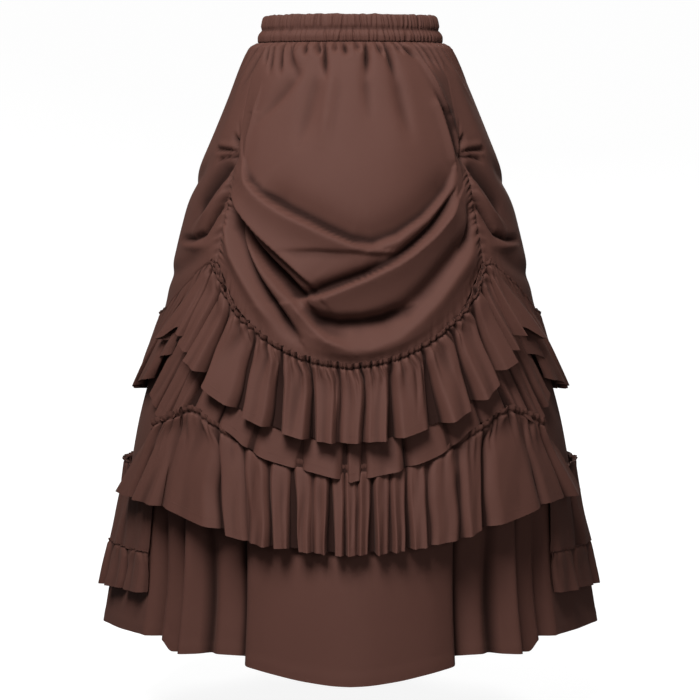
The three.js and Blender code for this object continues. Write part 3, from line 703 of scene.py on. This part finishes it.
UPPER_FRONT = [
    (-47.2, -50.4), (-45.5, -48.4), (-41.1, -45.2), (-36.5, -39.7), (-27, -29), (-18.9, -19.1),
    (-10.4, -9.8), (-3.1, -3.1), (4.4, 3.8), (11.2, 10.7), (20.3, 21.7), (29.9, 32.1), (37.4, 40.1),
    (41.5, 45.4), (45.5, 48.4), (47.2, 50.4),
]
UPPER_FRONT_HEM = [
    dict(angle=0, z=-560), dict(angle=10, z=-555), dict(angle=20, z=-542), dict(angle=27, z=-528),
    dict(angle=32.6, z=-513), dict(angle=37, z=-496), dict(angle=40, z=-478), dict(angle=44, z=-462),
    dict(angle=46, z=-450), dict(angle=48, z=-436), dict(angle=50.4, z=-418),
]
LOWER_FRONT = [
    (-47.2, -68), (-44.5, -61), (-41, -55), (-36, -46), (-29, -36), (-21, -25.7), (-11, -13.1),
    (-1.5, -1.5), (3.5, 3.5), (12, 14.5), (21.5, 26.5), (29, 36.5), (36, 46), (41, 55), (44.5, 61),
    (47.2, 68),
]
LOWER_FRONT_HEM = [
    dict(angle=0, z=-612), dict(angle=13, z=-597), dict(angle=21, z=-586), dict(angle=26, z=-574),
    dict(angle=32, z=-552), dict(angle=36, z=-545), dict(angle=42, z=-530), dict(angle=47, z=-526),
    dict(angle=52, z=-548), dict(angle=56, z=-553), dict(angle=61, z=-540), dict(angle=68, z=-512),
]
BACK_HALF = [
    (47.8, 51), (51.5, 58), (53.5, 66.5), (57, 79), (65, 87), (74, 94), (84, 101), (95, 109), (107, 118),
    (121, 129), (136, 141), (151, 154), (166, 167),
]
BACK_HEM = [
    dict(angle=51, z=-414), dict(angle=53, z=-420), dict(angle=55.5, z=-438), dict(angle=57.9, z=-442),
    dict(angle=58.1, z=-457), dict(angle=62, z=-464), dict(angle=66.4, z=-478),
    dict(angle=66.6, z=-496), dict(angle=73, z=-504), dict(angle=79, z=-513), dict(angle=90, z=-526),
    dict(angle=110, z=-540), dict(angle=140, z=-552), dict(angle=180, z=-558),
]
TIER_FRONT = [
    (-60, -73), (-56, -62), (-49, -50.6), (-36, -32), (-28, -25), (-21, -19.2), (-15, -14),
    (-10, -9.5), (-5.5, -5.2), (-1.5, -1.5), (2.1, 2.1), (6, 5.9), (10.5, 10.3), (15, 14.5),
    (20, 19.6), (28, 27.5), (36, 33.5), (49, 51), (56, 62), (60, 73),
]
TIER_HEADING = [
    dict(angle=0, z=-600), dict(angle=20, z=-588), dict(angle=30, z=-566), dict(angle=35, z=-552),
    dict(angle=39, z=-542), dict(angle=44, z=-531), dict(angle=50, z=-540), dict(angle=60, z=-562),
]
TIER_HEM = [
    dict(angle=0, z=-707), dict(angle=10, z=-704), dict(angle=20, z=-699), dict(angle=28, z=-693),
    dict(angle=33, z=-684), dict(angle=41, z=-676), dict(angle=50, z=-666), dict(angle=73, z=-663),
]
BACK_TIER_HEADING = [dict(angle=57, z=-628), dict(angle=90, z=-633), dict(angle=180, z=-642)]
BACK_TIER_HEM = [dict(angle=57, z=-744), dict(angle=90, z=-757), dict(angle=180, z=-768)]
FLOUNCE_HEM = [
    dict(angle=57, z=-800), dict(angle=75, z=-812), dict(angle=90, z=-822), dict(angle=180, z=-834),
]
TIER_EDGE_ANGLE = 60.4
HEADING_ROWS = 0.1
DOWN_BEND = 1.25
# how strong the painted shade is in the two end valleys of a ruffle
EDGE_VALLEY_SHADE = 0.3


def mirrored(half):
    """The valleys of one side and of the other, with one more at the centre back."""
    return half + [(180, 180)] + [(360 - head, 360 - hem) for head, hem in reversed(half)]


def even_valleys(count):
    """Valleys at even steps round the back, from one side seam to the other."""
    return [(angle, angle) for angle in np.linspace(TIER_EDGE_ANGLE, 360 - TIER_EDGE_ANGLE, count + 1)]


def ruffle(name, valleys, heading, hem, valley_out, flute_depth, per_flute, rows, cut, seed,
           gap=5.6, steep=1.0, header=4.0, crinkle=1.0, coarse=1.0, covered=0.0, base=None,
           full=1.25, rise=0.6, leans=None, fulls=None, openness=None):
    """A gathered ruffle between a heading line and a hem line, each a table of angle and z.

    valleys are pairs of angles, at the heading and at the hem. valley_out and flute_depth are each given at
    the heading and at the hem, in millimetres. header stands above the heading. gap is the width of a valley
    at the hem, and steep tells how sharply the flutes turn into it. crinkle and coarse are how deep and how
    wide apart the gathers of the heading are. leans are how far each flute falls sideways, in degrees, fulls
    names the flutes that stand out more or less than the rest, and openness the valleys that are softer or
    wider than the rest, which have 1. Up to the covered angle another ruffle lies on the heading and presses
    it flat. The insides of the valleys carry painted shade, in bands that fade towards the hem.
    """
    head_angle = np.array([valley[0] for valley in valleys], float)
    hem_angle = np.array([valley[1] for valley in valleys], float)
    flutes = len(valleys) - 1
    rng = np.random.default_rng(seed)
    fullness = rng.uniform(0.85, full, flutes)
    tilt = rng.uniform(-0.3, 0.3, flutes)
    drop = rng.uniform(-1.6, 1.2, flutes)
    dent = rng.uniform(0.0, 0.22, flutes)
    for flute, amount in (fulls or {}).items():
        fullness[flute] = amount
    valley = np.array([(openness or {}).get(k, 1.0) for k in range(flutes + 1)])
    gaps = gap * rng.uniform(0.45, 0.9, flutes + 1) * valley
    lean = np.array(leans or [0.0] * flutes)
    # how strong the painted shade is in each valley
    valley_shades = np.minimum(valley, 1) * np.random.default_rng(seed + 50).uniform(0.55, 1, flutes + 1)
    valley_shades[[0, -1]] = EDGE_VALLEY_SHADE

    def in_flute(across):
        s = across * flutes
        i = np.clip(np.floor(s).astype(int), 0, flutes - 1)
        return s, i, 1 - np.abs(2 * (s - i) - 1)

    def place(across, down):
        s, i, inward = in_flute(across)
        phase = (s - i) * 2 * np.pi
        head = mix(head_angle[i], head_angle[i + 1], s - i)
        v = np.where(down < HEADING_ROWS, 0, (down - HEADING_ROWS) / (1 - HEADING_ROWS)) ** DOWN_BEND
        above = np.clip(1 - down / HEADING_ROWS, 0, 1)
        top_z = read(heading, "angle", "z", turned(head)) - 0.3
        arc = np.radians(read(FORM, "z", "half", top_z))
        width = hem_angle[i + 1] - hem_angle[i]
        first = phase < np.pi
        hollow = np.where(first, gaps[i], gaps[i + 1]) / (np.abs(width) * arc) * mix(0.2, 1, v)
        edge = hollow * ease(inward, 0, 0.12)
        edge = edge + (0.5 - hollow) * (np.clip(inward - 0.2, 0, 1) / 0.8) ** 1.25
        open_to = np.minimum(np.where(first, valley[i], valley[i + 1]), 1)
        flute = 1 - (1 - ease(inward, 0.05, 0.58)) * mix(1, open_to, ease(v, 0, 0.3))
        spread = ease(v, 0, 0.22) * steep * mix(0.35, 1, open_to**2)
        along = mix(s - i, np.where(first, edge, 1 - edge), spread)
        foot = mix(hem_angle[i], hem_angle[i + 1], along)
        hem_z = read(hem, "angle", "z", turned(foot))
        fall = v * (top_z - hem_z)
        hem_z = hem_z + drop[i] * flute
        angle = mix(mix(head_angle[i], head_angle[i + 1], along), foot, v)
        sway = 0.05 * width * wander(fall / 45 + i * 7, 1, seed + 7)
        swing = lean[i] * np.where(lean[i] > 0, along, 1 - along)
        angle = angle + (0.1 * width * tilt[i] + swing) * flute * v + sway
        depth = mix(flute_depth[0], flute_depth[1], v**rise) * mix(1, fullness[i], v)
        round_top = flute * (1 + tilt[i] * np.sin(phase)) - dent[i] * np.sin(phase / 2) ** 6
        around = head * arc
        fine = (1 + gathers(around / coarse, 7.5, seed + 1, 1.9)) * np.exp(-fall / 10)
        bent = around + wander(fall, 20, seed + 5) * 2
        reach = mix(12, 52, (wander(around, 9, seed + 8) * 0.5 + 0.5) ** 1.6)
        longer = (1 + gathers(bent / coarse, 10, seed + 2, 2.2)) * np.exp(-((fall / reach) ** 2))
        soft = wander(s * 4 + fall / 60, 1, seed + 3) * 1.6 * ease(fall, 10, 50)
        stitched = -2.4 * crinkle * np.exp(-(((fall + above * header) / 1.7) ** 2))
        tucks = 1 + gathers(around / coarse + above * 0.8, 3.9, seed + 4, 1.15)
        heading_crinkle = tucks * (2.2 * ease(above, 0, 0.25) + 2.8 * above)
        out = mix(valley_out[0], valley_out[1], v) + depth * round_top + 1.2
        pressed = mix(0.25, 1, ease(turned(head), covered - 4, covered + 4)) if covered else 1
        out = out + pressed * crinkle * (fine * 2.8 + longer * 8.5 + heading_crinkle) + soft
        out = out + stitched
        out = np.maximum(out, valley_out[0] - 0.1)
        z = mix(top_z, hem_z, v) + above * (header + wander(around, 3.2, seed + 6) * 0.9)
        if base:
            out = out + base(angle, z)
        return on_form(angle, z, out)

    # painted shade down the inside of each valley, fading towards the hem
    def dimmed(across, down):
        s, i, inward = in_flute(across)
        v = np.clip((down - HEADING_ROWS) / (1 - HEADING_ROWS), 0, 1) ** DOWN_BEND
        valley_shade_mask = 1 - ease(inward, 0.02, mix(0.4, 0.2, ease(v, 0, 0.3)))
        strength = np.where(s - i < 0.5, valley_shades[i], valley_shades[i + 1])
        return valley_shade_mask * strength * mix(0.85, 0.25, ease(v, 0.25, 0.9)) * ease(v, 0, 0.02)

    return sew(name, per_flute * flutes, rows, place, cut, wall=0.7, dimmed=dimmed)


upper_front = ruffle(
    "overskirt_ruffle_upper_cloth", UPPER_FRONT, HEADING, UPPER_FRONT_HEM,
    (8.8, 13), (2.6, 20), 46, 42, (1.25, 0.115), 101, header=8,
    leans=[-5, -6, -5, -3, -1.2, 0, 0, 0, 0, 0, 1.2, 3, 5, 6, 5],
    openness={3: 1.2, 4: 1.3, 5: 1.5, 6: 1.1, 7: 0.65, 8: 0.6, 9: 1.1, 10: 1.6, 11: 1.3, 12: 1.2},
)
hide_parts("overskirt_ruffle_upper")

lower_front = ruffle(
    "overskirt_ruffle_lower_cloth", LOWER_FRONT, HEADING, LOWER_FRONT_HEM,
    (5.4, 7), (1, 8), 26, 34, (1.3, 0.16), 102, header=0, crinkle=0.3, rise=2.4,
)
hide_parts("overskirt_ruffle_lower")

back_ruffle = ruffle(
    "overskirt_ruffle_back_cloth", mirrored(BACK_HALF), HEADING, BACK_HEM,
    (4.8, 10), (0.8, 12), 22, 38, (2.3, 0.125), 103, full=1.0, header=4, crinkle=0.35,
    coarse=1.7, rise=0.95,
    leans=[14, 4, 3, 1] + [0.0] * 18 + [-1, -3, -4, -13],
    fulls={0: 1.35, 1: 0.55, 2: 0.9, 23: 0.9, 24: 0.55, 25: 1.3},
)
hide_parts("overskirt_ruffle_back")

tier_front = ruffle(
    "underskirt_ruffle_front_cloth", TIER_FRONT, TIER_HEADING, TIER_HEM,
    (2.6, 8), (2.4, 18), 38, 36, (1.9, 0.13), 104, gap=5.2, header=9, crinkle=1.15, coarse=1.7,
    covered=32,
    leans=[-1.5, -1.5, -1.5] + [0.0] * 13 + [1.5, 1.5, 1.5],
    openness={
        1: 0.5, 2: 0.45, 3: 1.2, 4: 0.5, 5: 0.7, 6: 1.5, 7: 0.45, 8: 1.6, 9: 0.5, 10: 0.4, 11: 1.7,
        12: 0.6, 13: 1.5, 14: 0.6, 15: 0.5, 16: 1.3, 17: 0.5, 18: 0.5,
    },
)
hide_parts("underskirt_ruffle_front")

back_tier = ruffle(
    "underskirt_tier_back_cloth", even_valleys(14), BACK_TIER_HEADING, BACK_TIER_HEM,
    (2.6, 6), (2, 5), 24, 34, (1.7, 0.13), 105, steep=0.25, header=4, crinkle=0.7, coarse=2.2,
    base=under_fold,
)
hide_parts("underskirt_tier_back")

flounce = ruffle(
    "underskirt_ruffle_back_cloth", even_valleys(20), BACK_TIER_HEM, FLOUNCE_HEM,
    (5, 5), (2, 10), 26, 28, (2.3, 0.07), 106, gap=3.5, steep=0.8, header=3, crinkle=0.4, coarse=1.9,
    base=under_fold,
)
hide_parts("underskirt_ruffle_back")

# Studio
# A pale floor that curves up into a low white wall all round. A large soft light stands in front
# on the left and above, a weak one lower on the right, and one behind.

FLOOR_Z = -1.02
FLOOR_RADIUS = 3.6
WALL_RADIUS = 4.8
WALL_TOP = 2.6
BEND_STEPS = 8
floor = bmesh.new()
profile = [(0.0, FLOOR_Z), (FLOOR_RADIUS, FLOOR_Z)]
for step in range(1, BEND_STEPS + 1):
    bend = math.pi / 2 * step / BEND_STEPS
    run = WALL_RADIUS - FLOOR_RADIUS
    profile.append((FLOOR_RADIUS + run * math.sin(bend), FLOOR_Z + run * (1 - math.cos(bend))))
profile.append((WALL_RADIUS, WALL_TOP))
points = [floor.verts.new((radius, 0, height)) for radius, height in profile]
edges = [floor.edges.new(pair) for pair in zip(points, points[1:])]
bmesh.ops.spin(
    floor, geom=points + edges, axis=(0, 0, 1), cent=(0, 0, 0), angle=2 * math.pi, steps=96,
    use_merge=True,
)
bmesh.ops.remove_doubles(floor, verts=floor.verts, dist=0.0001)
bmesh.ops.recalc_face_normals(floor, faces=floor.faces)
floor_mesh = bpy.data.meshes.new("studio_floor")
floor.to_mesh(floor_mesh)
floor.free()
floor_mesh.shade_smooth()
studio = bpy.data.objects.new("studio_floor", floor_mesh)
bpy.context.scene.collection.objects.link(studio)
pale = Finish("pale_paper")
pale.join(pale.shader, {
    "Base Color": (0.2, 0.2, 0.2, 1), "Roughness": 0.95, "Emission Color": (1, 1, 1, 1),
    "Emission Strength": 0.9,
})
floor_mesh.materials.append(pale.material)
studio.visible_diffuse = False
studio.visible_glossy = False

world = bpy.data.worlds.new("soft_sky")
world.use_nodes = True
world.node_tree.nodes["Background"].inputs["Color"].default_value = (1, 1, 1, 1)
world.node_tree.nodes["Background"].inputs["Strength"].default_value = 0.11
bpy.context.scene.world = world


def soft_box(name, place, aim, size, power):
    """A rectangular studio light at a place, turned to face a point."""
    light = bpy.data.lights.new(name, "AREA")
    light.shape = "RECTANGLE"
    light.size, light.size_y = size
    light.energy = power
    lamp = bpy.data.objects.new(name, light)
    bpy.context.scene.collection.objects.link(lamp)
    lamp.location = place
    toward = [a - b for a, b in zip(aim, place)]
    lamp.rotation_euler = (
        math.atan2(math.hypot(toward[0], toward[1]), -toward[2]), 0,
        math.atan2(toward[1], toward[0]) - math.pi / 2,
    )


soft_box("key_light", (-0.8, -2.2, 2.6), (0, -0.2, -0.45), (1.6, 1.6), 199)
soft_box("fill_light", (1.2, -3.2, 0.1), (0, 0, -0.5), (1.2, 1.2), 15)
soft_box("back_light", (0.4, 3.3, 1.7), (0, 0.2, -0.45), (1.2, 1.2), 75)

# Camera
# It stands nearly three metres in front of the skirt, about 100 mm below the middle of the
# waistband, and looks slightly down.

CAMERA_DISTANCE = 2.9
CAMERA_HEIGHT = -0.10
CAMERA_PITCH = 7.265
CAMERA_LENS = 101.26
camera_data = bpy.data.cameras.new("photo_camera")
camera_data.lens = CAMERA_LENS
camera_data.sensor_width = 36
camera = bpy.data.objects.new("photo_camera", camera_data)
bpy.context.scene.collection.objects.link(camera)
camera.location = (0, -CAMERA_DISTANCE, CAMERA_HEIGHT)
camera.rotation_euler = (math.radians(90 - CAMERA_PITCH), 0, 0)
bpy.context.scene.camera = camera
bpy.context.scene.view_settings.view_transform = "Standard"
